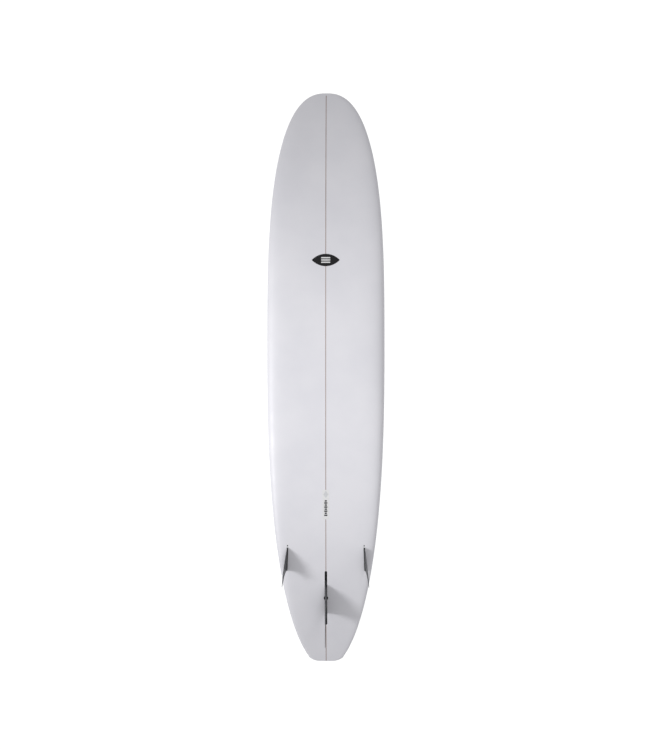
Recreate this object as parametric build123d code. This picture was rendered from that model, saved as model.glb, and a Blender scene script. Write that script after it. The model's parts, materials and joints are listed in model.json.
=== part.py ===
"""Longboard surfboard, 9 ft 2 in, with one long centre fin box and two side fins.

The board lies deck down with its fins up: X runs across the board, +Y to the nose and +Z out
of the bottom skin. The origin is on the floor under the middle of the board's length, and the
nose and the tail both touch the floor. A station is a distance in millimetres from the nose.
"""
from build123d import *
from math import atan2, cos, degrees, radians, sin, sqrt
import os

# ---- board outline, seen square on
board_length = 2794.0
board_width = 571.5
nose_to_wide_point = 1240.0
nose_taper, nose_fullness = 3.0, 2.5
tail_taper, tail_fullness = 2.55, 2.0
tail_run = 1588.0
tail_corner_radius = 70.0

# ---- side profile
board_thickness = 79.0
tail_thickness = 26.0
nose_thinning, tail_thinning = 2.2, 2.4
nose_rocker = 122.0
nose_rocker_run = 1300.0
nose_rocker_curve, tail_rocker_curve = 2.8, 2.4

# ---- cross-section: each half is w^p + z^2 = 1, from the rail's widest line to the centre
deck_roundness = 2.8
nose_flatness, tail_flatness = 6.0, 16.0
nose_rail_share, tail_rail_share = 0.46, 0.30
rib_spread = [0.0, 0.3, 0.55, 0.72, 0.84, 0.92, 0.965, 0.99, 1.0]

# ---- layers
skin_thickness = 1.8
bond_gap = 0.2
nose_gap, nose_gap_run = 1.5, 500.0
tail_patch_reach = 14.0
seam_gap = 0.12
stringer_width = 3.5
fit_gap = 0.1

# ---- centre fin box and fin, in the frame of the box: x to the nose, z out of the board
center_box_station = 2478.0
center_box_length, center_box_width, center_box_depth = 273.0, 25.4, 25.4
slot_length, slot_width, slot_depth = 267.0, 9.7, 20.0
groove_width, groove_top, groove_bottom = 16.4, -8.8, -13.2
entry_radius = 9.5
lip_width, groove_lip = 1.2, 4.5
block_margin, block_depth = 11.0, 29.0
center_fin_height, center_fin_base, center_fin_thickness = 203.0, 145.0, 9.0
center_fin_rake, center_fin_sweep = 115.0, 215.0
center_fin_front = 68.0
base_width, base_depth, base_lift = 9.3, 18.0, 0.4
tab_length, tab_top, tab_bottom = 18.0, -2.2, -8.4
pin_radius, pin_length, pin_depth, pin_inset = 2.0, 15.8, 11.0, 9.0
plate_length, plate_width, plate_thickness = 12.7, 15.6, 3.0
screw_radius, screw_end, screw_head_radius, screw_head_height = 2.0, -15.5, 3.6, 1.9
thread_gap = 0.05

# ---- side fins and their boxes
side_fin_station, side_fin_offset = 2286.0, 189.0
side_fin_cant, side_fin_toe = 8.0, 2.2
side_fin_height, side_fin_base, side_fin_thickness = 115.0, 114.0, 6.0
side_fin_rake, side_fin_sweep = 62.0, 130.0
side_tab_width, side_tab_depth, side_root_lift = 6.4, 12.6, 1.0
side_slot_gap, side_lip_width = 0.3, 1.2
side_box_length, side_box_width, side_box_depth = 144.0, 17.0, 19.0
side_box_shift = 5.0
side_block_depth = 23.0
grub_radius, grub_length, grub_reach, grub_lead = 2.5, 8.0, 12.1, 9.5
grub_tip_radius, grub_socket_width, grub_socket_depth = 1.2, 2.5, 2.6
grub_lean = 45.0

# ---- leash plug and vent, on the deck
leash_station = 2664.0
leash_cup_radius, leash_cup_depth = 16.0, 19.0
leash_well_radius, leash_well_depth = 12.5, 14.5
leash_bar_radius, leash_bar_depth = 2.0, 4.6
leash_block_radius, leash_block_depth = 25.0, 24.0
vent_station, vent_offset = 1050.0, 32.0
vent_radius, vent_flange_radius, vent_depth = 8.0, 11.0, 16.0
vent_flange_thickness, vent_bore_radius = 1.6, 3.0
membrane_radius, membrane_thickness = 5.5, 0.8
vent_ring_height = 1.2

# ---- printed marks on the bottom
badge_station, badge_length, badge_height = 830.0, 136.0, 60.0
bar_length, bar_height, bar_pitch = 44.0, 6.0, 11.0
mark_station = 2035.0
mark_dashes, mark_dash_width, mark_dash_pitch = 8, 15.0, 10.0
mark_dash_height = 7.0
label_start, label_end, label_width = 1946.0, 2090.0, 32.0
label_thickness, label_rows = 0.15, 12
emblem_station, emblem_length, emblem_width = 1968.0, 36.0, 24.0
print_thickness, print_lift = 0.25, 0.05

nose_y = board_length / 2
half_width_max = board_width / 2
far = 400.0


def half_width(station):
    """Half the board's width at a station."""
    if station < nose_to_wide_point:
        left = (1 - station / nose_to_wide_point) ** nose_taper
        return half_width_max * (1 - left) ** (1 / nose_fullness)
    left = ((station - nose_to_wide_point) / tail_run) ** tail_taper
    return half_width_max * (1 - left) ** (1 / tail_fullness)


def thickness(station):
    """The board's thickness on the centreline."""
    if station < nose_to_wide_point:
        left = (1 - station / nose_to_wide_point) ** nose_thinning
        return board_thickness * sqrt(1 - left)
    run = (station - nose_to_wide_point) / (board_length - nose_to_wide_point)
    return board_thickness - (board_thickness - tail_thickness) * run**tail_thinning


def nose_drop(station):
    """How far the bottom has curved down towards the nose."""
    return nose_rocker * max(0.0, 1 - station / nose_rocker_run) ** nose_rocker_curve


# The crown of the bottom stands where the nose's lowest point meets the floor.
crown_z = max(nose_drop(s) + thickness(s) for s in range(1, 200))
tail_rocker = crown_z - tail_thickness


def bottom_z(station):
    """Height of the bottom skin on the centreline."""
    run = (station - nose_to_wide_point) / (board_length - nose_to_wide_point)
    tail_drop = tail_rocker * max(0.0, run) ** tail_rocker_curve
    return crown_z - nose_drop(station) - tail_drop


def between(station, at_nose, at_tail):
    """A value that changes evenly from the wide point to the tail."""
    run = (station - nose_to_wide_point) / (board_length - nose_to_wide_point)
    return at_nose + (at_tail - at_nose) * max(0.0, run)


def rail_z(station):
    """Height of the rail line, the widest line of a cross-section."""
    return bottom_z(station) - thickness(station) * between(station, nose_rail_share, tail_rail_share)


def rib_point(station, share, side, inset=0.0, seam=0.0):
    """A point of the cross-section: share is -1 to 1 across it, side 1 for bottom, -1 for deck."""
    rail_share = between(station, nose_rail_share, tail_rail_share)
    if side > 0:
        depth = thickness(station) * rail_share
        power = between(station, nose_flatness, tail_flatness)
    else:
        depth = thickness(station) * (1 - rail_share)
        power = deck_roundness
    rise = seam + (depth - inset - seam) * sqrt(max(0.0, 1 - abs(share) ** power))
    x = (half_width(station) - inset) * share
    return Vector(x, nose_y - station, rail_z(station) + side * rise)


def rib_parameters(side):
    """Shares across a rib, with spline parameters by the run along the widest one."""
    shares = [-s for s in reversed(rib_spread)] + rib_spread[1:]
    points = [rib_point(nose_to_wide_point, s, side) for s in shares]
    runs = [0.0]
    for a, b in zip(points, points[1:]):
        runs.append(runs[-1] + (b - a).length)
    return shares, [r / runs[-1] for r in runs], runs[-1]


def rib_edge(station, side, inset=0.0, seam=0.0):
    """The bottom or deck curve of a rib, from the left rail to the right rail."""
    shares, parameters, run = rib_parameters(side)
    points = [rib_point(station, s, side, inset, seam) for s in shares]
    widest = [rib_point(nose_to_wide_point, s, side) for s in (0.0, 1.0)]
    middle = points[len(points) // 2]
    speed = run * (middle.Z - points[0].Z) / (widest[0].Z - widest[1].Z)
    ends = [Vector(0, 0, side * speed), Vector(0, 0, -side * speed)]
    return Edge.make_spline(points, tangents=ends, parameters=parameters, scale=False)


def stations(first, last):
    """Stations of the ribs, close together where the nose and tail curve fast."""
    inner = [1.2, 2.5, 5, 9, 15, 24, 37, 55, 80, 115, 160, 220] + list(range(300, 2700, 110)) + [2740]
    return [first] + [s for s in inner if first * 1.3 < s < last - 15] + [last]


def hull(inset, nose_gap, first, last):
    """The board's body, or its core: the same shape inset evenly, and a little more at the nose."""
    wires = []
    for s in stations(first, last):
        depth = inset + nose_gap * max(0.0, 1 - s / nose_gap_run)
        wires.append(Wire([rib_edge(s, 1, depth), rib_edge(s, -1, depth)]))
    return Solid.make_loft(wires)


def skin(side):
    """The bottom or deck skin: a shell that thins towards the nose and ends at the rail line."""
    wires = []
    for s in stations(0.4, board_length):
        depth = abs(rib_point(s, 0.0, side).Z - rail_z(s))
        outer = rib_edge(s, side, 0.0, seam_gap)
        inner = rib_edge(s, side, min(skin_thickness, 0.4 * depth), seam_gap)
        rims = [Edge.make_line(outer @ 1, inner @ 1), Edge.make_line(inner @ 0, outer @ 0)]
        wires.append(Wire([outer, rims[0], inner, rims[1]]))
    return Solid.make_loft(wires)


def tail_form(inset=0.0):
    """A tall prism that rounds the tail's two corners off."""
    end = nose_y - board_length + inset
    half = half_width(board_length) - inset * 0.6
    ahead = 300.0
    slope = (half_width(board_length - 4) - half_width(board_length)) / 4
    side = half + ahead * slope
    outline = Polyline(
        (-side, end + ahead), (-half, end), (half, end), (side, end + ahead),
        (side + far, end + ahead), (side + far, nose_y + far),
        (-side - far, nose_y + far), (-side - far, end + ahead), close=True,
    )
    face = make_face(outline)
    corners = [v for v in face.vertices() if abs(v.Y - end) < 0.01]
    rounded = fillet(corners, tail_corner_radius - inset)
    return extrude(Pos(0, 0, -far) * rounded, 2 * far)


def tail_band(inset, reach):
    """The ground outside the inset tail, within reach of the tail's end."""
    ahead = reach + 20.0
    middle = nose_y - board_length + reach - ahead / 2
    return Pos(0, middle, 0) * Box(2 * half_width_max, ahead, far) - tail_form(inset)


def block(x_size, y_size, z_low, z_high, x_shift=0.0):
    """A plain block between two heights of a local frame."""
    return Pos(x_shift, 0, (z_low + z_high) / 2) * Box(x_size, y_size, z_high - z_low)


def round_slot(length, width, z_low, z_high, x_shift=0.0):
    """A round-ended bar along x between two heights of a local frame."""
    shape = SlotOverall(length, width)
    return Pos(x_shift, 0, z_low) * extrude(shape, z_high - z_low)


def rod(radius, z_low, z_high, x=0.0, y=0.0):
    """An upright cylinder of a local frame."""
    return Pos(x, y, (z_low + z_high) / 2) * Cylinder(radius, z_high - z_low)


def solid_of(shape):
    """The one solid of a shape, or a compound of all of them."""
    solids = shape.solids()
    return solids[0] if len(solids) == 1 else Compound(solids)


def surface_frame(station, x=0.0, cant=0.0, toe=0.0):
    """Plane on the bottom skin: x to the nose, z outwards, leaned outboard and turned nose in."""
    step = 2.0
    share = x / half_width(station)
    here = rib_point(station, share, 1)
    rise = bottom_z(station - step) - bottom_z(station + step)
    along = Vector(0, 2 * step, rise).normalized()
    up = Vector(1, 0, 0).cross(along)
    outboard = 1 if x > 0 else -1
    turn = -outboard * radians(toe)
    ahead = along * cos(turn) + Vector(1, 0, 0) * sin(turn)
    across = up.cross(ahead)
    lean = outboard * radians(cant)
    out = up * cos(lean) - across * sin(lean)
    return Plane(origin=here, x_dir=ahead, z_dir=out)


def deck_frame(station, x=0.0):
    """Plane on the deck: x to the nose, z outwards, which is down."""
    step = 2.0
    share = x / half_width(station)
    here = rib_point(station, share, -1)
    ahead = rib_point(station - step, share, -1) - rib_point(station + step, share, -1)
    side = rib_point(station, share + 0.01, -1) - rib_point(station, share - 0.01, -1)
    return Plane(origin=here, x_dir=ahead, z_dir=ahead.cross(side))


def foil(chord, front, height, depth_left, depth_right):
    """Closed foil section in a local XY plane: nose at x = front, tail behind it."""
    blunt = min(0.35, depth_left + 0.05, depth_right + 0.05)
    spread = [0.0, 0.02, 0.1, 0.28, 0.5, 0.75, 1.0]

    def side(depth, sign):
        points = []
        for u in spread:
            swell = sqrt(u) * (1 - u) * 2.2 * (1 + 0.35 * u)
            points.append(Vector(front - chord * u, sign * (depth * swell * 0.97 + blunt * u), height))
        return points

    left, right = side(depth_left, 1), side(depth_right, -1)
    parameters = [sqrt(u) for u in spread]
    return Wire([
        Edge.make_spline(left, parameters=parameters),
        Edge.make_line(left[-1], right[-1]),
        Edge.make_spline(right[::-1], parameters=[1 - p for p in reversed(parameters)]),
    ])


def fin_blade(height, base, rake, sweep, thick, flat_share, root):
    """A raked fin blade: root front at x = base / 2, thick at the root, thinning to the tip."""
    sections = []
    for v in (0.0, 0.12, 0.25, 0.4, 0.55, 0.7, 0.82, 0.91, 0.965, 0.992):
        back = base + rake * v**2.1
        chord = (back - sweep * v**1.33) * sqrt(1 - v**9)
        deep = thick * (1 - 0.45 * v) * (0.35 + 0.65 * chord / base)
        z = root + (height - root) * v
        front = base / 2 - (back - chord)
        sections.append(foil(chord, front, z, deep * (1 - flat_share), deep * flat_share))
    return Solid.make_loft(sections)


def build_center_fin():
    """Centre fin: blade, base bar and the low front tab that the screw holds."""
    blade = Pos(center_fin_front - center_fin_base / 2, 0, 0) * fin_blade(
        center_fin_height, center_fin_base, center_fin_rake, center_fin_sweep,
        center_fin_thickness, 0.5, base_lift - 1.0,
    )
    back = center_fin_front - center_fin_base
    middle = (center_fin_front + back) / 2
    bar = round_slot(center_fin_base, base_width, -base_depth, base_lift, middle)
    tab = round_slot(
        tab_length + base_width, base_width, tab_bottom, tab_top,
        center_fin_front + (tab_length - base_width) / 2,
    )
    screw_x = center_fin_front + tab_length / 2
    pin_x = back + pin_inset
    holes = rod(screw_radius + 0.25, tab_bottom - 1, tab_top + 1, screw_x)
    pin_hole = Pos(pin_x, 0, -pin_depth) * Rot(90, 0, 0) * Cylinder(pin_radius, 2 * base_width)
    fin = blade + bar + tab - holes - pin_hole
    pin = Pos(pin_x, 0, -pin_depth) * Rot(90, 0, 0) * Cylinder(pin_radius - 0.02, pin_length)
    plate_top = groove_top - 0.15
    plate = block(plate_length, plate_width, plate_top - plate_thickness, plate_top, screw_x)
    plate -= rod(screw_radius + thread_gap, plate_top - 5, plate_top + 1, screw_x)
    screw = rod(screw_radius, screw_end, tab_top, screw_x)
    screw += rod(screw_head_radius, tab_top + 0.05, tab_top + 0.05 + screw_head_height, screw_x)
    screw += rod(screw_radius, tab_top - 0.1, tab_top + 0.1, screw_x)
    for turn in (0, 90):
        recess = Pos(screw_x, 0, tab_top + screw_head_height) * Rot(0, 0, turn)
        screw -= recess * Box(3.8, 0.9, 1.6)
    return fin, pin, plate, screw


def build_label():
    """A pale film under the mark, which follows the bottom's curve along the board."""
    rows = [label_start + (label_end - label_start) * i / label_rows for i in range(label_rows + 1)]
    low = [(nose_y - s, bottom_z(s) + print_lift) for s in rows]
    high = [(nose_y - s, bottom_z(s) + print_lift + label_thickness) for s in reversed(rows)]
    side_view = Plane.YZ * Polygon(*low, *high, align=None)
    return extrude(side_view, label_width / 2, both=True)


def keyhole(grow=0.0):
    """Outline of the long box's lip: a round-ended slot with the round way in at its middle."""
    size = SlotOverall(slot_length + 2 * (lip_width + grow), slot_width + 2 * (lip_width + grow))
    return size + Circle(entry_radius + lip_width + grow)


def build_center_box(body, core):
    """Long fin box: slot, side grooves for the pin and plate, and the round way in to them."""
    top = 6.0
    box = round_slot(center_box_length, center_box_width, -center_box_depth, top) & core
    lip = Pos(0, 0, -groove_lip) * extrude(keyhole(), groove_lip + top)
    box += lip & body
    box -= round_slot(slot_length, slot_width, -slot_depth, top + 1)
    box -= block(slot_length - 4, groove_width, groove_bottom, groove_top)
    box -= rod(entry_radius, groove_bottom, top + 1)
    pocket = round_slot(
        center_box_length + 2 * fit_gap, center_box_width + 2 * fit_gap,
        -center_box_depth - fit_gap, top + 2,
    )
    opening = Pos(0, 0, -groove_lip) * extrude(keyhole(fit_gap), groove_lip + top)
    bed = block(
        center_box_length + 2 * block_margin, center_box_width + 2 * block_margin,
        -block_depth, top,
    )
    return box, pocket, opening, bed


def side_lip(grow=0.0):
    """Outline of a side box's lip: its slot, and the mouth of the leaning screw hole."""
    slot_size = side_fin_base + 2 * side_slot_gap + 2 * (side_lip_width + grow)
    width = side_tab_width + 2 * side_slot_gap + 2 * (side_lip_width + grow)
    mouth = Pos(side_fin_base / 2 + grub_lead, 0) * Circle(grub_radius + 2.4 + grow)
    neck = Pos(side_fin_base / 2 + grub_lead / 2, 0) * Rectangle(grub_lead + 4, 6.0 + 2 * grow)
    return RectangleRounded(slot_size, width, 1.5) + mouth + neck


def build_side_box(body, core):
    """Side fin box: one slot, and a leaning screw hole that meets the slot's front end."""
    top = 6.0
    slot_size = side_fin_base + 2 * side_slot_gap
    box = round_slot(side_box_length, side_box_width, -side_box_depth, top, side_box_shift) & core
    box += (Pos(0, 0, -groove_lip) * extrude(side_lip(), groove_lip + top)) & body
    box -= block(slot_size, side_tab_width + 2 * side_slot_gap, -side_tab_depth - 0.6, top + 1)
    hole = Pos(0, 0, (grub_reach + 14) / -2 + 14) * Cylinder(grub_radius + thread_gap, grub_reach + 14)
    box -= grub_frame() * hole
    pocket = round_slot(
        side_box_length + 2 * fit_gap, side_box_width + 2 * fit_gap,
        -side_box_depth - fit_gap, top + 2, side_box_shift,
    )
    opening = Pos(0, 0, -groove_lip) * extrude(side_lip(fit_gap), groove_lip + top)
    bed = block(side_box_length + 16, side_box_width + 16, -side_block_depth, top, side_box_shift)
    return box, pocket, opening, bed


def grub_frame():
    """Frame of the leaning screw, inside a side box's frame: z out of its hole."""
    return Pos(side_fin_base / 2 + grub_lead, 0, 0) * Rot(0, grub_lean, 0)


def build_grub():
    """Hexagon-socket grub screw with a cone point."""
    top = grub_length - grub_reach
    body = Pos(0, 0, top - grub_length / 2) * Cylinder(grub_radius, grub_length)
    end = body.edges().sort_by(Axis.Z)[0]
    body = chamfer(end, grub_radius - grub_tip_radius)
    socket = RegularPolygon(grub_socket_width / sqrt(3), 6)
    body -= Pos(0, 0, top - grub_socket_depth) * extrude(socket, grub_socket_depth + 1)
    return grub_frame() * body


def build_side_fin(outboard):
    """Side fin: a foil that is nearly flat on its inner face, with one full-length tab."""
    flat_share = 0.18 if outboard > 0 else 0.82
    blade = fin_blade(
        side_fin_height, side_fin_base, side_fin_rake, side_fin_sweep,
        side_fin_thickness, 1 - flat_share, side_root_lift,
    )
    tab = block(side_fin_base, side_tab_width, -side_tab_depth, side_root_lift + 0.8)
    return blade + tab


def write(name, shape):
    """Writes one part's STEP file."""
    export_step(solid_of(shape), os.path.join("parts", name + ".step"))
    print(name, "written")


def main():
    os.makedirs("parts", exist_ok=True)
    body = hull(0.0, 0.0, 0.4, board_length) & tail_form()
    core_inset = skin_thickness + bond_gap
    core = hull(core_inset, nose_gap, 40.0, board_length - core_inset) & tail_form(core_inset)
    band = tail_band(skin_thickness + fit_gap, tail_patch_reach + fit_gap)
    bottom_skin, deck_skin = (skin(1) & tail_form()) - band, (skin(-1) & tail_form()) - band
    tail_patch = body & tail_band(skin_thickness, tail_patch_reach)
    print("skins", bottom_skin.volume, deck_skin.volume, "core", core.volume)

    parts = {"tail_patch": tail_patch}
    # Pockets are cut from the skins and the core; beds are the dense foam round each insert.
    frames = {"center": surface_frame(center_box_station)}
    for name, outboard in (("left", -1), ("right", 1)):
        frames[name] = surface_frame(
            side_fin_station, outboard * side_fin_offset, side_fin_cant, side_fin_toe
        )
    whole_core = core
    for name, build in (("center", build_center_box), ("left", build_side_box), ("right", build_side_box)):
        place = frames[name].location
        back = place.inverse()
        box, pocket, opening, bed = build(back * body, back * whole_core)
        title = "center_box" if name == "center" else "side_box_" + name
        bed_title = "center_box_bed" if name == "center" else "side_box_bed_" + name
        parts[title] = place * box
        parts[bed_title] = ((place * bed) & core) - place * pocket
        bottom_skin -= place * opening
        core -= place * bed

    # Leash plug: a cup with a bar across its well, let into the deck.
    place = deck_frame(leash_station).location
    over = 6.0
    cup = rod(leash_cup_radius, -leash_cup_depth, over)
    well = rod(leash_well_radius, -leash_well_depth, over + 1)
    floor_edge = well.edges().sort_by(Axis.Z)[0]
    cup -= fillet(floor_edge, 5.0)
    bar_at = Pos(0, 0, -leash_bar_depth) * Rot(90, 0, 0)
    bar_length_across = 2 * leash_cup_radius - 3.0
    cup -= bar_at * Cylinder(leash_bar_radius + 0.02, bar_length_across + 0.1)
    pocket = rod(leash_cup_radius + fit_gap, -leash_cup_depth - fit_gap, over + 2)
    bed = rod(leash_block_radius, -leash_block_depth, over)
    parts["leash_cup"] = (place * cup) & body
    parts["leash_bar"] = place * (bar_at * Cylinder(leash_bar_radius, bar_length_across))
    parts["leash_plug_bed"] = ((place * bed) & core) - place * pocket
    deck_skin -= place * pocket
    core -= place * bed

    # Vent: a flanged plug that holds a breathing membrane under a ring.
    place = deck_frame(vent_station, vent_offset).location
    body = rod(vent_radius, -vent_depth, -vent_flange_thickness)
    body += rod(vent_flange_radius, -vent_flange_thickness, 0.0)
    body -= rod(vent_bore_radius, -vent_depth - 1, 1)
    body -= rod(membrane_radius + 0.1, -2.6, 1)
    membrane = rod(membrane_radius, -2.6, -2.6 + membrane_thickness)
    ring = rod(membrane_radius, -1.7, -1.7 + vent_ring_height) - rod(vent_bore_radius, -3, 1)
    pocket = rod(vent_radius + fit_gap, -vent_depth - fit_gap, 3)
    pocket += rod(vent_flange_radius + fit_gap, -vent_flange_thickness - fit_gap, 3)
    parts["vent_body"] = place * body
    parts["vent_membrane"] = place * membrane
    parts["vent_ring"] = place * ring
    deck_skin -= place * pocket
    core -= place * pocket

    # Core halves and the stringer between them.
    gap = stringer_width / 2 + bond_gap
    slab = Box(stringer_width, 2 * board_length, 2 * far)
    parts["stringer"] = core & slab
    half_box = Box(far, 2 * board_length, 2 * far)
    parts["core_right"] = core & (Pos(gap + far / 2, 0, 0) * half_box)
    parts["core_left"] = core & (Pos(-gap - far / 2, 0, 0) * half_box)
    parts["bottom_skin"] = bottom_skin
    parts["deck_skin"] = deck_skin

    # Printed marks, flat films on the bottom skin.
    place = surface_frame(badge_station).location
    low, high = print_lift, print_lift + print_thickness
    radius = (badge_length**2 + badge_height**2) / (4 * badge_height)
    arc_center = radius - badge_height / 2
    lens = Pos(-arc_center, 0) * Circle(radius) & Pos(arc_center, 0) * Circle(radius)
    bars = [
        Pos(row * bar_pitch, 0, low) * extrude(RectangleRounded(bar_height, bar_length, 2.0), high - low)
        for row in (-1, 0, 1)
    ]
    film = Pos(0, 0, low) * extrude(lens, high - low)
    for bar in bars:
        film -= bar
    parts["badge"] = place * film
    parts["badge_bars"] = place * Compound([b.solid() for b in bars])
    parts["stringer_label"] = build_label()
    label_top = print_lift + label_thickness + print_lift
    dashes = []
    for i in range(mark_dashes):
        station = mark_station - (i - (mark_dashes - 1) / 2) * mark_dash_pitch
        shape = RectangleRounded(mark_dash_height, mark_dash_width - 4 * (i % 2), 1.5)
        film = Pos(0, 0, label_top) * extrude(shape, print_thickness)
        dashes.append((surface_frame(station).location * film).solid())
    parts["stringer_mark"] = Compound(dashes)
    tips = [(emblem_length / 2, 0), (0, emblem_width / 2), (-emblem_length / 2, 0), (0, -emblem_width / 2)]
    film = Pos(0, 0, label_top) * extrude(Polygon(*tips, align=None), print_thickness)
    parts["stringer_emblem"] = surface_frame(emblem_station).location * film

    # Fins and their fixings.
    place = frames["center"].location
    fin, pin, plate, screw = build_center_fin()
    for name, shape in (
        ("center_fin", fin), ("fin_roller_pin", pin), ("fin_plate", plate), ("fin_screw", screw),
    ):
        parts[name] = place * shape
    for name, outboard in (("left", -1), ("right", 1)):
        place = frames[name].location
        parts["side_fin_" + name] = place * build_side_fin(outboard)
        parts["grub_screw_" + name] = place * build_grub()

    for name, shape in parts.items():
        write(name, shape)
    for name, frame in frames.items():
        print(name, "frame", frame.origin, "along", frame.x_dir, "out", frame.z_dir)
    print("crown", crown_z, "tail rocker", tail_rocker)
    lean = degrees(atan2(frames["center"].x_dir.Z, frames["center"].x_dir.Y))
    print("centre box slope", lean)


main()
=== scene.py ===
"""Looks for a 9 ft 2 in longboard surfboard that lies deck down with its fins up.

+Y is the nose, +Z comes out of the bottom skin, and stations are metres from the nose.
"""
import json
import math

import bmesh
import bpy
from mathutils import Matrix, Vector

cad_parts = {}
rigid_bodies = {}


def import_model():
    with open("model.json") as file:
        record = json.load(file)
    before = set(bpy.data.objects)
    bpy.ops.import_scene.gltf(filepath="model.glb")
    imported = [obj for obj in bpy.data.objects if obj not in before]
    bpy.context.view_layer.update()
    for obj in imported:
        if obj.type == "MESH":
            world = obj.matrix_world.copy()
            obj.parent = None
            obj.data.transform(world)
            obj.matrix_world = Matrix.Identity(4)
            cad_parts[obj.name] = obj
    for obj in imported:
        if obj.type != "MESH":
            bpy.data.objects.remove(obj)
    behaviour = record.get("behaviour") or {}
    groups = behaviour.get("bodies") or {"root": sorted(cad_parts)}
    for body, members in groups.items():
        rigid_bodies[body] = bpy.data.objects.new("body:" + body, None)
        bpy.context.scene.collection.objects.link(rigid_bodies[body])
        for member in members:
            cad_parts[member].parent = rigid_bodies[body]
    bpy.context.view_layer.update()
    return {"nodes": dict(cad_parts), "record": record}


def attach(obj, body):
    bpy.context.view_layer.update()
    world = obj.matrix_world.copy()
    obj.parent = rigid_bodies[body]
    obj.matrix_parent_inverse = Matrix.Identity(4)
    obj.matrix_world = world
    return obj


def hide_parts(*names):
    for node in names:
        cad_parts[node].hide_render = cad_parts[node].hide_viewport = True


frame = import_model()
record = frame["record"]

# ---- the board's form, as the CAD has it
LENGTH, WIDTH = 2.794, 0.5715
WIDE_POINT = 1.240
NOSE_TAPER, NOSE_FULLNESS = 3.0, 2.5
TAIL_TAPER, TAIL_FULLNESS, TAIL_RUN = 2.55, 2.0, 1.588
CORNER_RADIUS = 0.070
THICKNESS, TAIL_THICKNESS = 0.079, 0.026
NOSE_THINNING, TAIL_THINNING = 2.2, 2.4
NOSE_ROCKER, NOSE_ROCKER_RUN = 0.122, 1.300
NOSE_ROCKER_CURVE, TAIL_ROCKER_CURVE = 2.8, 2.4
DECK_ROUNDNESS, NOSE_FLATNESS, TAIL_FLATNESS = 2.8, 6.0, 16.0
NOSE_RAIL_SHARE, TAIL_RAIL_SHARE = 0.46, 0.30
LARGEST_INSET = 0.4
STRINGER = 0.0035
NOSE_Y = LENGTH / 2

# ---- the skins' shells: their first row, where the hollow inside starts, and how rows crowd
SKIN = 0.0018
SHELL_START, HOLLOW_START = 0.0004, 0.010
NOSE_ROWS, NOSE_RUN, NOSE_CROWDING = 36, 0.2, 2.3
MIDDLE_ROWS, MIDDLE_RUN = 116, 2.53
TAIL_ROWS, TAIL_START_GAP, TAIL_CROWDING = 20, 0.02, 2
HALF_COLUMNS, RAIL_CROWDING = 40, 2.2
SHARP_ANGLE, STRIP_SHARP_ANGLE = 32.0, 70.0

# ---- the long fin box and the side fins, as the CAD has them
CENTER_STATION = 2.478
SLOT_LENGTH, SLOT_WIDTH, LIP, ENTRY = 0.267, 0.0097, 0.0012, 0.0095
SIDE_STATION, SIDE_OFFSET, SIDE_CANT, SIDE_TOE = 2.286, 0.189, 8.0, 2.2
SIDE_BASE, SIDE_SLOT_WIDTH = 0.114, 0.0070
GRUB_LEAD, GRUB_MOUTH, GRUB_BORE = 0.0095, 0.0049, 0.0027
LEASH_STATION, LEASH_RADIUS = 2.664, 0.016
VENT_STATION, VENT_OFFSET, VENT_RADIUS = 1.050, 0.032, 0.011
SIDE_LIP, SIDE_SLOT_PLAY, SIDE_CORNER = 0.0024, 0.0006, 0.0015
NECK_WIDTH, NECK_EXTRA, NECK_CORNER = 0.006, 0.004, 0.0002
INSERT_PLAY, CUT_DEPTH = 0.0001, 0.008

# ---- the stringer's line, laid in the skins
LINE_PROUD, LINE_SUNK, LINE_STEP = 0.00012, 0.0006, 0.012
LINE_NOSE_GAP, LINE_TAIL_GAP, LINE_INSERT_GAP = 0.012, 0.0015, 0.0005

# ---- stage
KEY_PLACE, KEY_TARGET, KEY_POWER = (-4.96, -1.1, 4.1), (0, -0.04, 0.1), 1090
KEY_CONE, KEY_RADIUS = 33.5, 0.95
FILL_PLACE, FILL_TARGET, FILL_POWER, FILL_SIZE = (0.8, -0.3, 3.0), (0, -0.3, 0.1), 16, 1.6
ROOM_STRENGTH = 0.41
FLOOR_SIZE, FLOOR_DROP, FLOOR_GLOW = 60, 0.0005, 0.95
VIEW_MIDDLE, VIEW_HEIGHT, VIEW_SPAN = (-0.004, 0.009, 0.105), 7.4, 3.648
VIEW_LEAN, SENSOR = 1.2, 36.0


def half_width(station):
    if station < WIDE_POINT:
        left = (1 - station / WIDE_POINT) ** NOSE_TAPER
        return WIDTH / 2 * (1 - left) ** (1 / NOSE_FULLNESS)
    left = ((station - WIDE_POINT) / TAIL_RUN) ** TAIL_TAPER
    return WIDTH / 2 * (1 - left) ** (1 / TAIL_FULLNESS)


def corner_half_width(station):
    """Half width with the tail's two corners rounded."""
    end, probe = half_width(LENGTH), 0.004
    slope = (half_width(LENGTH - probe) - end) / probe
    turn = math.pi / 2 - math.atan(slope)
    flat = end - CORNER_RADIUS * math.tan(turn / 2)
    along = station - (LENGTH - CORNER_RADIUS)
    if along < CORNER_RADIUS * math.cos(turn):
        return half_width(station)
    return flat + math.sqrt(max(0.0, CORNER_RADIUS**2 - along**2))


def thickness(station):
    if station < WIDE_POINT:
        return THICKNESS * math.sqrt(1 - (1 - station / WIDE_POINT) ** NOSE_THINNING)
    run = (station - WIDE_POINT) / (LENGTH - WIDE_POINT)
    return THICKNESS - (THICKNESS - TAIL_THICKNESS) * run**TAIL_THINNING


def nose_drop(station):
    return NOSE_ROCKER * max(0.0, 1 - station / NOSE_ROCKER_RUN) ** NOSE_ROCKER_CURVE


CROWN = max(nose_drop(s / 1000) + thickness(s / 1000) for s in range(1, 200))
TAIL_ROCKER = CROWN - TAIL_THICKNESS


def bottom_z(station):
    run = (station - WIDE_POINT) / (LENGTH - WIDE_POINT)
    return CROWN - nose_drop(station) - TAIL_ROCKER * max(0.0, run) ** TAIL_ROCKER_CURVE


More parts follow.
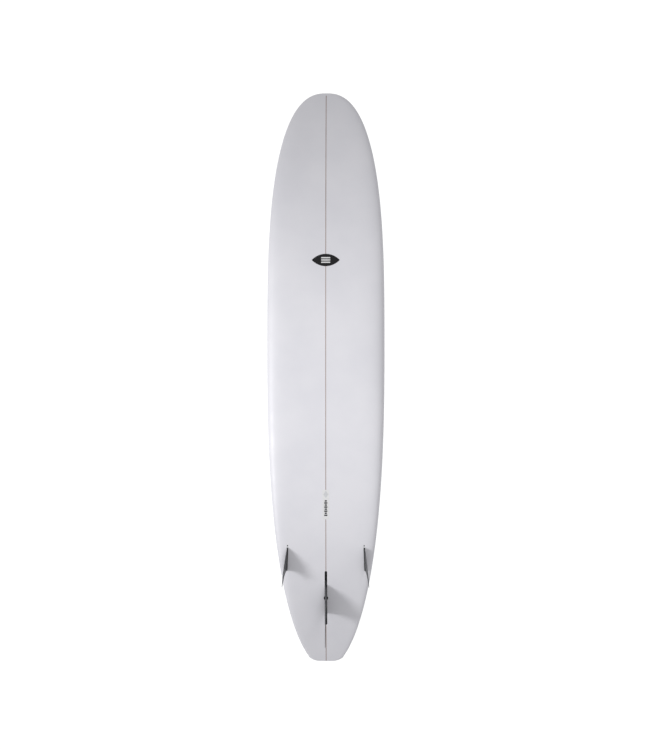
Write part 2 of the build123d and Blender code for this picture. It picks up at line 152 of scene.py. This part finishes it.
def between(station, at_nose, at_tail):
    run = (station - WIDE_POINT) / (LENGTH - WIDE_POINT)
    return at_nose + (at_tail - at_nose) * max(0.0, run)


def surface(station, share, side, inset=0.0):
    """A point on the board: share runs -1 to 1 across it, side is 1 for bottom, -1 for deck."""
    rail_share = between(station, NOSE_RAIL_SHARE, TAIL_RAIL_SHARE)
    if side > 0:
        depth = thickness(station) * rail_share
        power = between(station, NOSE_FLATNESS, TAIL_FLATNESS)
    else:
        depth = thickness(station) * (1 - rail_share)
        power = DECK_ROUNDNESS
    rail_z = bottom_z(station) - thickness(station) * rail_share
    inset = min(inset, LARGEST_INSET * depth)
    rise = (depth - inset) * math.sqrt(max(0.0, 1 - abs(share) ** power))
    wide = corner_half_width(station) - inset
    return Vector((wide * share, NOSE_Y - station, rail_z + side * rise))


def surface_frame(station, x, side, cant=0.0, toe=0.0):
    """Matrix on the skin: x to the nose, z outwards, leaned outboard and turned nose in."""
    step, share_step = 0.002, 0.01
    share = x / half_width(station)
    here = surface(station, share, side)
    if side > 0:
        rise = bottom_z(station - step) - bottom_z(station + step)
        along = Vector((0, 2 * step, rise)).normalized()
        up = Vector((1, 0, 0)).cross(along)
    else:
        along = (surface(station - step, share, side)
                 - surface(station + step, share, side)).normalized()
        across = (surface(station, share + share_step, side)
                  - surface(station, share - share_step, side))
        up = along.cross(across).normalized()
    outboard = 1 if x > 0 else -1
    turn, lean = -outboard * math.radians(toe), outboard * math.radians(cant)
    ahead = along * math.cos(turn) + Vector((1, 0, 0)) * math.sin(turn)
    aside = up.cross(ahead)
    out = up * math.cos(lean) - aside * math.sin(lean)
    aside = out.cross(ahead)
    return Matrix.Translation(here) @ Matrix((ahead, aside, out)).transposed().to_4x4()


# ---- mesh helpers

def mesh_object(name, points, faces):
    mesh = bpy.data.meshes.new(name)
    mesh.from_pydata([tuple(p) for p in points], [], faces)
    mesh.validate()
    obj = bpy.data.objects.new(name, mesh)
    bpy.context.scene.collection.objects.link(obj)
    return obj


def finish_mesh(obj, material, angle=SHARP_ANGLE):
    """Outward normals, smooth shading with sharp edges kept, and the material."""
    bm = bmesh.new()
    bm.from_mesh(obj.data)
    bmesh.ops.recalc_face_normals(bm, faces=bm.faces)
    for face in bm.faces:
        face.smooth = True
    for edge in bm.edges:
        if len(edge.link_faces) == 2:
            edge.smooth = edge.calc_face_angle(0) < math.radians(angle)
    bm.to_mesh(obj.data)
    bm.free()
    obj.data.materials.clear()
    obj.data.materials.append(material)


def stations():
    """Rows of the skins, close together where the nose and the tail's corners turn fast."""
    nose = [SHELL_START + NOSE_RUN * (i / NOSE_ROWS) ** NOSE_CROWDING for i in range(NOSE_ROWS)]
    middle = [NOSE_RUN + SHELL_START + MIDDLE_RUN * i / MIDDLE_ROWS for i in range(MIDDLE_ROWS)]
    tail_run = LENGTH - (middle[-1] + TAIL_START_GAP)
    tail = [LENGTH - tail_run * (1 - i / TAIL_ROWS) ** TAIL_CROWDING for i in range(TAIL_ROWS + 1)]
    return nose + middle + tail


def shares():
    """Columns of the skins from rail to rail, close together at the rails."""
    half = [1 - (1 - i / HALF_COLUMNS) ** RAIL_CROWDING for i in range(1, HALF_COLUMNS + 1)]
    return [-share for share in reversed(half)] + [0.0] + half


def build_skin(name, side):
    """One skin as a closed shell: outer and inner sheets, rims along the rails, and two ends."""
    rows, columns = stations(), shares()
    shrink = (LENGTH - SKIN - HOLLOW_START) / (LENGTH - SHELL_START)
    inner_rows = [HOLLOW_START + (row - SHELL_START) * shrink for row in rows]
    points = [surface(row, share, side) for row in rows for share in columns]
    points += [surface(row, share, side, SKIN) for row in inner_rows for share in columns]
    height, width = len(rows), len(columns)
    outer, inner = 0, height * width

    def at(layer, row, column):
        return layer + row * width + column

    faces = []
    for i in range(height - 1):
        for j in range(width - 1):
            faces.append((
                at(outer, i, j), at(outer, i, j + 1), at(outer, i + 1, j + 1), at(outer, i + 1, j),
            ))
            faces.append((
                at(inner, i, j), at(inner, i + 1, j), at(inner, i + 1, j + 1), at(inner, i, j + 1),
            ))
        for j in (0, width - 1):
            faces.append((
                at(outer, i, j), at(outer, i + 1, j), at(inner, i + 1, j), at(inner, i, j),
            ))
    for i in (0, height - 1):
        faces.append([at(outer, i, j) for j in range(width)])
        faces.append((
            at(outer, i, 0), at(outer, i, width - 1), at(inner, i, width - 1), at(inner, i, 0),
        ))
        faces.append([at(inner, i, j) for j in range(width)])
    return mesh_object(name, points, faces)


def ring_of(radius, x=0.0, steps=48):
    """A circle round a point on the x axis."""
    turns = [2 * math.pi * i / steps for i in range(steps)]
    return [(x + radius * math.cos(t), radius * math.sin(t)) for t in turns]


def slot_outline(length, width, radius, steps=12):
    """A bar with rounded corners, centred on the origin."""
    spots = []
    for k, (sx, sy) in enumerate(((1, 1), (-1, 1), (-1, -1), (1, -1))):
        for i in range(steps + 1):
            t = math.pi / 2 * (k + i / steps)
            spots.append((
                sx * (length / 2 - radius) + radius * math.cos(t),
                sy * (width / 2 - radius) + radius * math.sin(t),
            ))
    return spots


def cutter(outline, place):
    """A closed prism of the outline, half above and half below the skin."""
    count = len(outline)
    points = [place @ Vector((x, y, z)) for z in (-CUT_DEPTH, CUT_DEPTH) for x, y in outline]
    faces = [list(range(count))[::-1], list(range(count, 2 * count))]
    for i in range(count):
        j = (i + 1) % count
        faces.append((i, j, count + j, count + i))
    return mesh_object("cutter", points, faces)


def cut(obj, cutters):
    """Cuts each closed cutter from the object, and removes the cutters."""
    for tool in cutters:
        for mesh in (obj.data, tool.data):
            bm = bmesh.new()
            bm.from_mesh(mesh)
            bmesh.ops.recalc_face_normals(bm, faces=bm.faces)
            bm.to_mesh(mesh)
            bm.free()
        mod = obj.modifiers.new("cut", "BOOLEAN")
        mod.operation, mod.solver, mod.object = "DIFFERENCE", "EXACT", tool
        graph = bpy.context.evaluated_depsgraph_get()
        result = bpy.data.meshes.new_from_object(obj.evaluated_get(graph))
        obj.modifiers.clear()
        obj.data = result
        bpy.data.objects.remove(tool)


# ---- materials

def nodes_of(name):
    mat = bpy.data.materials.new(name)
    mat.use_nodes = True
    return mat, mat.node_tree, mat.node_tree.nodes["Principled BSDF"]


def link(tree, output, socket):
    tree.links.new(output, socket)


def noise(tree, scale, detail=2.0, stretch=(1, 1, 1)):
    """Noise in the object's own frame, in metres, stretched along an axis."""
    place = tree.nodes.new("ShaderNodeTexCoord")
    mapping = tree.nodes.new("ShaderNodeMapping")
    mapping.inputs["Scale"].default_value = stretch
    tex = tree.nodes.new("ShaderNodeTexNoise")
    tex.inputs["Scale"].default_value = scale
    tex.inputs["Detail"].default_value = detail
    link(tree, place.outputs["Object"], mapping.inputs["Vector"])
    link(tree, mapping.outputs["Vector"], tex.inputs["Vector"])
    return tex.outputs["Fac"]


def ramp(tree, value, stops):
    node = tree.nodes.new("ShaderNodeValToRGB")
    while len(node.color_ramp.elements) < len(stops):
        node.color_ramp.elements.new(0.5)
    for element, (position, color) in zip(node.color_ramp.elements, stops):
        element.position = position
        element.color = (*color, 1)
    link(tree, value, node.inputs["Fac"])
    return node.outputs["Color"]


def spread(tree, value, low, high):
    """Maps a noise, which mostly runs from 0.3 to 0.7, to low and high."""
    node = tree.nodes.new("ShaderNodeMapRange")
    node.inputs["From Min"].default_value = 0.3
    node.inputs["From Max"].default_value = 0.7
    node.inputs["To Min"].default_value = low
    node.inputs["To Max"].default_value = high
    link(tree, value, node.inputs["Value"])
    return node.outputs["Result"]


def add_bump(tree, shader, height, strength, distance):
    node = tree.nodes.new("ShaderNodeBump")
    node.inputs["Strength"].default_value = strength
    node.inputs["Distance"].default_value = distance
    link(tree, height, node.inputs["Height"])
    link(tree, node.outputs["Normal"], shader.inputs["Normal"])


def white_laminate():
    """Fine-sanded resin over white: a faint tone drift, patchy sheen and a sanded grain."""
    mat, tree, shader = nodes_of("laminate_white")
    drift = noise(tree, 5.0, 4.0)
    tone = ramp(tree, drift, [(0.35, (0.756, 0.752, 0.802)), (0.65, (0.794, 0.788, 0.834))])
    link(tree, tone, shader.inputs["Base Color"])
    link(tree, spread(tree, noise(tree, 18.0, 3.0), 0.46, 0.58), shader.inputs["Roughness"])
    shader.inputs["Coat Weight"].default_value = 0.15
    shader.inputs["Coat Roughness"].default_value = 0.35
    add_bump(tree, shader, noise(tree, 420.0, 2.0), 0.05, 0.0004)
    return mat


def stringer_line():
    """Pale brown wood under milky resin, with grain along the board."""
    mat, tree, shader = nodes_of("stringer_line")
    grain = noise(tree, 60.0, 6.0, (1.0, 0.03, 1.0))
    tone = ramp(tree, grain, [(0.3, (0.28, 0.19, 0.165)), (0.7, (0.40, 0.295, 0.262))])
    link(tree, tone, shader.inputs["Base Color"])
    shader.inputs["Roughness"].default_value = 0.35
    shader.inputs["Coat Weight"].default_value = 0.4
    add_bump(tree, shader, grain, 0.05, 0.0002)
    return mat


def moulded(name, dark, light, rough=(0.45, 0.6), coat=0.0):
    """Moulded plastic: a fine grain, soft drift of tone and patchy gloss."""
    mat, tree, shader = nodes_of(name)
    tone = ramp(tree, noise(tree, 45.0, 5.0), [(0.3, dark), (0.7, light)])
    link(tree, tone, shader.inputs["Base Color"])
    link(tree, spread(tree, noise(tree, 120.0, 3.0), *rough), shader.inputs["Roughness"])
    shader.inputs["Coat Weight"].default_value = coat
    add_bump(tree, shader, noise(tree, 900.0, 2.0), 0.12, 0.00015)
    return mat


def fin_composite():
    """Dark smoke composite: long faint flow lines under a satin coat."""
    mat, tree, shader = nodes_of("fin_smoke")
    flow = noise(tree, 26.0, 6.0, (1.0, 0.35, 1.6))
    tone = ramp(tree, flow, [(0.3, (0.015, 0.016, 0.019)), (0.7, (0.032, 0.033, 0.038))])
    link(tree, tone, shader.inputs["Base Color"])
    link(tree, spread(tree, noise(tree, 90.0, 4.0), 0.3, 0.46), shader.inputs["Roughness"])
    shader.inputs["Coat Weight"].default_value = 0.08
    shader.inputs["Coat Roughness"].default_value = 0.25
    shader.inputs["Specular IOR Level"].default_value = 0.35
    add_bump(tree, shader, noise(tree, 700.0, 2.0), 0.06, 0.0002)
    return mat


def metal(name, color, rough, stretch):
    """Turned or ground metal with fine machining lines."""
    mat, tree, shader = nodes_of(name)
    lines = noise(tree, 1500.0, 3.0, stretch)
    tone = ramp(tree, lines, [(0.3, tuple(c * 0.85 for c in color)), (0.7, color)])
    link(tree, tone, shader.inputs["Base Color"])
    shader.inputs["Metallic"].default_value = 1.0
    link(tree, spread(tree, lines, rough, rough + 0.12), shader.inputs["Roughness"])
    add_bump(tree, shader, lines, 0.08, 0.0001)
    return mat


def print_ink(name, low, high):
    """Screen-printed ink under resin, slightly uneven."""
    mat, tree, shader = nodes_of(name)
    tone = ramp(tree, noise(tree, 300.0, 4.0), [(0.35, low), (0.65, high)])
    link(tree, tone, shader.inputs["Base Color"])
    link(tree, spread(tree, noise(tree, 90.0, 2.0), 0.42, 0.54), shader.inputs["Roughness"])
    shader.inputs["Specular IOR Level"].default_value = 0.2
    return mat


def foam(name, low, high):
    mat, tree, shader = nodes_of(name)
    cells = noise(tree, 600.0, 3.0)
    link(tree, ramp(tree, cells, [(0.3, low), (0.7, high)]), shader.inputs["Base Color"])
    shader.inputs["Roughness"].default_value = 0.9
    add_bump(tree, shader, cells, 0.4, 0.0006)
    return mat


MATERIALS = {
    "white_laminate": white_laminate(),
    "white_foam": foam("foam_white", (0.74, 0.74, 0.73), (0.86, 0.86, 0.85)),
    "dense_foam": foam("foam_dense", (0.62, 0.6, 0.5), (0.72, 0.7, 0.6)),
    "stringer_wood": stringer_line(),
    "box_black": moulded("box_black", (0.006, 0.006, 0.007), (0.014, 0.014, 0.016)),
    "box_white": moulded("box_white", (0.70, 0.71, 0.73), (0.77, 0.78, 0.80), (0.35, 0.45), 0.2),
    "fin_smoke": fin_composite(),
    "stainless": metal("stainless", (0.62, 0.62, 0.63), 0.22, (1, 6, 1)),
    "screw_black": metal("screw_black", (0.06, 0.06, 0.065), 0.35, (1, 1, 5)),
    "cup_white": moulded("cup_white", (0.66, 0.67, 0.68), (0.76, 0.77, 0.78)),
    "vent_body": moulded("vent_plastic", (0.55, 0.56, 0.57), (0.66, 0.67, 0.68)),
    "vent_cloth": foam("vent_cloth", (0.24, 0.25, 0.27), (0.36, 0.37, 0.39)),
    "print_black": print_ink("ink_black", (0.008, 0.008, 0.009), (0.018, 0.018, 0.02)),
    "print_white": print_ink("ink_white", (0.74, 0.74, 0.75), (0.82, 0.82, 0.83)),
    "print_grey": print_ink("ink_grey", (0.60, 0.61, 0.63), (0.68, 0.69, 0.71)),
}


def meshes_of(name):
    """The meshes that make up a CAD node."""
    node = frame["nodes"][name]
    return [obj for obj in [node] + list(node.children_recursive) if obj.type == "MESH"]


def dress_cad_nodes():
    """Gives every CAD node the procedural material of its slot."""
    for part in record["subparts"]:
        for obj in meshes_of(part["node"]):
            obj.data.materials.clear()
            obj.data.materials.append(MATERIALS[part["material_slot"]])


def side_frame(side):
    """Matrix of a side fin's box: x along its base, z up its lean."""
    return surface_frame(SIDE_STATION, side * SIDE_OFFSET, 1, SIDE_CANT, SIDE_TOE)


def paint_screw_hole_shade():
    """The walls of the side boxes' leaning screw holes are painted with the screws' black
    material: painted shade for the dark inside of the holes, whose white plastic is not black.
    """
    for side, name in ((-1, "side_box_left"), (1, "side_box_right")):
        place = side_frame(side)
        mouth = place @ Vector((SIDE_BASE / 2 + GRUB_LEAD, 0, 0))
        axis = (place.to_3x3() @ Vector((1, 0, 1))).normalized()
        for obj in meshes_of(name):
            obj.data.materials.append(MATERIALS["screw_black"])
            for face in obj.data.polygons:
                away = obj.matrix_world @ face.center - mouth
                if (away - axis * away.dot(axis)).length < GRUB_BORE:
                    # Painted shade: faces round the bore's axis turn black to stand in for the
                    # shadow inside the hole.
                    face.material_index = 1


# ---- pieces

def add_piece(obj, material, body, replaced=(), angle=SHARP_ANGLE):
    """Finishes a piece, parents it to the body it rides on, and hides the CAD nodes that it
    replaces.
    """
    finish_mesh(obj, material, angle)
    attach(obj, body)
    if replaced:
        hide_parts(*replaced)


def build_bottom():
    """The bottom skin, with openings where the fin boxes' lips come through."""
    skin = build_skin("bottom_shell", 1)
    place = surface_frame(CENTER_STATION, 0.0, 1)
    length, width = SLOT_LENGTH + 2 * LIP, SLOT_WIDTH + 2 * LIP
    cutters = [
        cutter(slot_outline(length, width, width / 2), place),
        cutter(ring_of(ENTRY + LIP), place),
    ]
    slot_length = SIDE_BASE + SIDE_SLOT_PLAY + SIDE_LIP
    neck_outline = slot_outline(GRUB_LEAD + NECK_EXTRA, NECK_WIDTH, NECK_CORNER)
    for side in (-1, 1):
        place = side_frame(side)
        neck_place = place @ Matrix.Translation(((SIDE_BASE + GRUB_LEAD) / 2, 0, 0))
        cutters += [
            cutter(slot_outline(slot_length, SIDE_SLOT_WIDTH + SIDE_LIP, SIDE_CORNER), place),
            cutter(ring_of(GRUB_MOUTH, x=SIDE_BASE / 2 + GRUB_LEAD), place),
            cutter(neck_outline, neck_place),
        ]
    cut(skin, cutters)
    add_piece(skin, MATERIALS["white_laminate"], "board", ["bottom_skin"])


def build_deck():
    """The deck skin, with round openings for the leash plug and the vent."""
    skin = build_skin("deck_shell", -1)
    leash_place = surface_frame(LEASH_STATION, 0.0, -1)
    vent_place = surface_frame(VENT_STATION, VENT_OFFSET, -1)
    cut(skin, [
        cutter(ring_of(LEASH_RADIUS + INSERT_PLAY), leash_place),
        cutter(ring_of(VENT_RADIUS + INSERT_PLAY), vent_place),
    ])
    replaced = ["deck_skin", "tail_patch"]
    add_piece(skin, MATERIALS["white_laminate"], "board", replaced)


def stringer_strip(name, side, first, last):
    """A thin inlaid line that follows the skin's centre."""
    section = (
        (-1, -LINE_SUNK), (-1, LINE_PROUD * 0.4), (-0.6, LINE_PROUD),
        (0.6, LINE_PROUD), (1, LINE_PROUD * 0.4), (1, -LINE_SUNK),
    )
    corners = len(section)
    count = max(4, int((last - first) / LINE_STEP))
    points, faces = [], []
    for i in range(count + 1):
        base = surface(first + (last - first) * i / count, 0.0, side)
        for x, lift in section:
            points.append(base + Vector((x * STRINGER / 2, 0, side * lift)))
    for i in range(count):
        a, b = i * corners, (i + 1) * corners
        for j in range(corners):
            k = (j + 1) % corners
            faces.append((a + j, a + k, b + k, b + j))
    faces.append(list(range(corners)))
    faces.append([count * corners + j for j in range(corners)][::-1])
    strip = mesh_object(name, points, faces)
    wood = MATERIALS["stringer_wood"]
    add_piece(strip, wood, "board", (), STRIP_SHARP_ANGLE)


def build_stringer_lines():
    """Two lines on each side of the board, ahead of and behind its fin box or leash plug."""
    nose, tail = LINE_NOSE_GAP, LENGTH - LINE_TAIL_GAP
    box_reach = SLOT_LENGTH / 2 + LIP + LINE_INSERT_GAP
    plug_reach = LEASH_RADIUS + LINE_INSERT_GAP
    stringer_strip("bottom_line_front", 1, nose, CENTER_STATION - box_reach)
    stringer_strip("bottom_line_back", 1, CENTER_STATION + box_reach, tail)
    stringer_strip("deck_line_front", -1, nose, LEASH_STATION - plug_reach)
    stringer_strip("deck_line_back", -1, LEASH_STATION + plug_reach, tail)


# ---- stage

def build_floor():
    """A pale floor, bright enough that the board stands on white."""
    bpy.ops.mesh.primitive_plane_add(size=FLOOR_SIZE, location=(0, 0, -FLOOR_DROP))
    floor = bpy.context.object
    floor.name = "floor"
    mat, tree, shader = nodes_of("floor_pale")
    shader.inputs["Base Color"].default_value = (0.25, 0.25, 0.25, 1)
    shader.inputs["Roughness"].default_value = 1.0
    shader.inputs["Emission Color"].default_value = (1, 1, 1, 1)
    shader.inputs["Emission Strength"].default_value = FLOOR_GLOW
    floor.data.materials.append(mat)
    floor.visible_diffuse = False


def add_light(name, kind, place, target, power):
    data = bpy.data.lights.new(name, kind)
    data.energy = power
    light = bpy.data.objects.new(name, data)
    light.location = place
    aim = Vector(target) - Vector(place)
    light.rotation_euler = aim.to_track_quat("-Z", "Y").to_euler()
    bpy.context.scene.collection.objects.link(light)
    return data


def build_lights():
    """A big soft spot from the left that fades towards both ends, an overhead fill, a dim room."""
    key = add_light("key", "SPOT", KEY_PLACE, KEY_TARGET, KEY_POWER)
    key.spot_size, key.spot_blend = math.radians(KEY_CONE), 1.0
    key.shadow_soft_size = KEY_RADIUS
    fill = add_light("fill", "AREA", FILL_PLACE, FILL_TARGET, FILL_POWER)
    fill.shape, fill.size = "DISK", FILL_SIZE
    world = bpy.data.worlds.new("studio")
    bpy.context.scene.world = world
    world.use_nodes = True
    back = world.node_tree.nodes["Background"]
    back.inputs["Color"].default_value = (1.0, 1.0, 1.0, 1)
    back.inputs["Strength"].default_value = ROOM_STRENGTH


def build_camera():
    """Looks down at the bottom from high above, a little to the right of the stringer."""
    data = bpy.data.cameras.new("camera")
    camera = bpy.data.objects.new("camera", data)
    bpy.context.scene.collection.objects.link(camera)
    middle = Vector(VIEW_MIDDLE)
    aside = math.tan(math.radians(VIEW_LEAN)) * VIEW_HEIGHT
    camera.location = middle + Vector((aside, 0, VIEW_HEIGHT))
    back = (camera.location - middle).normalized()
    up = Vector((0, 1, 0))
    right = up.cross(back)
    camera.rotation_euler = Matrix((right, up, back)).transposed().to_euler()
    data.sensor_width = SENSOR
    data.lens = SENSOR * VIEW_HEIGHT / VIEW_SPAN
    data.clip_end = 100
    bpy.context.scene.camera = camera


dress_cad_nodes()
paint_screw_hole_shade()
build_bottom()
build_deck()
build_stringer_lines()
build_floor()
build_lights()
build_camera()
bpy.context.scene.view_settings.view_transform = "Standard"
